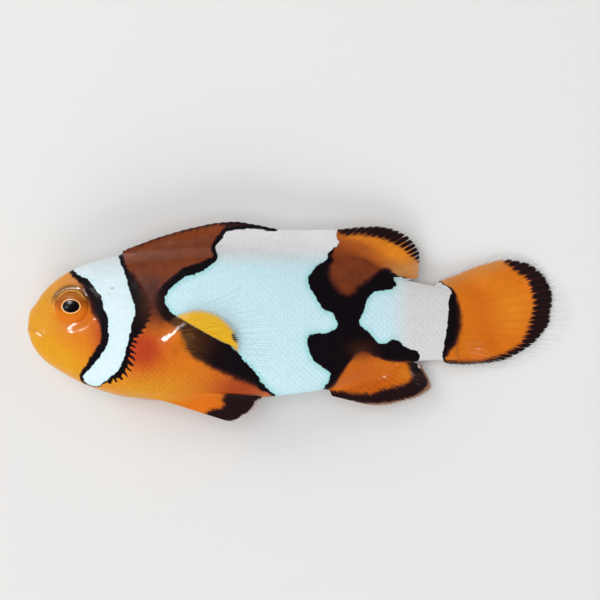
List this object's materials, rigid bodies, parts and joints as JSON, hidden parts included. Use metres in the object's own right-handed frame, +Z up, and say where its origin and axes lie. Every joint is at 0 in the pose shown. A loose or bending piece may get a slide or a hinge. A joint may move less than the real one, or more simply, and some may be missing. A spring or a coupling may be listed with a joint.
{
  "type": "clownfish model",
  "caption": "Life-size still model of a percula clownfish with wide white bands, lying on its right side with its fins spread, its mouth shut and its tail resting on the floor.",
  "frame": {"origin": "The middle of the fish's outline seen from above, on the floor that it lies on.", "axes": "+X runs from the snout to the tail, +Y from the belly to the back, and +Z points up, out of the left flank."},
  "size_m": [0.0808, 0.0294, 0.0133],
  "materials": {
    "skin_orange": "gloss",
    "skin_white": "gloss",
    "fin_brown": "gloss",
    "fin_orange": "gloss",
    "fin_yellow": "gloss",
    "eye": "gloss"
  },
  "bodies": {
    "root": {"head": "skin_orange", "lower_jaw": "skin_orange", "trunk": "skin_white", "tail": "skin_white", "dorsal_fin_spiny": "fin_brown", "dorsal_fin_soft": "fin_orange", "anal_fin": "fin_orange", "caudal_fin": "fin_orange", "pectoral_fin_left": "fin_yellow", "pectoral_fin_right": "fin_yellow", "pelvic_fin_left": "fin_orange", "pelvic_fin_right": "fin_orange", "eye_left": "eye", "eye_right": "eye"}
  },
  "joints": []
}
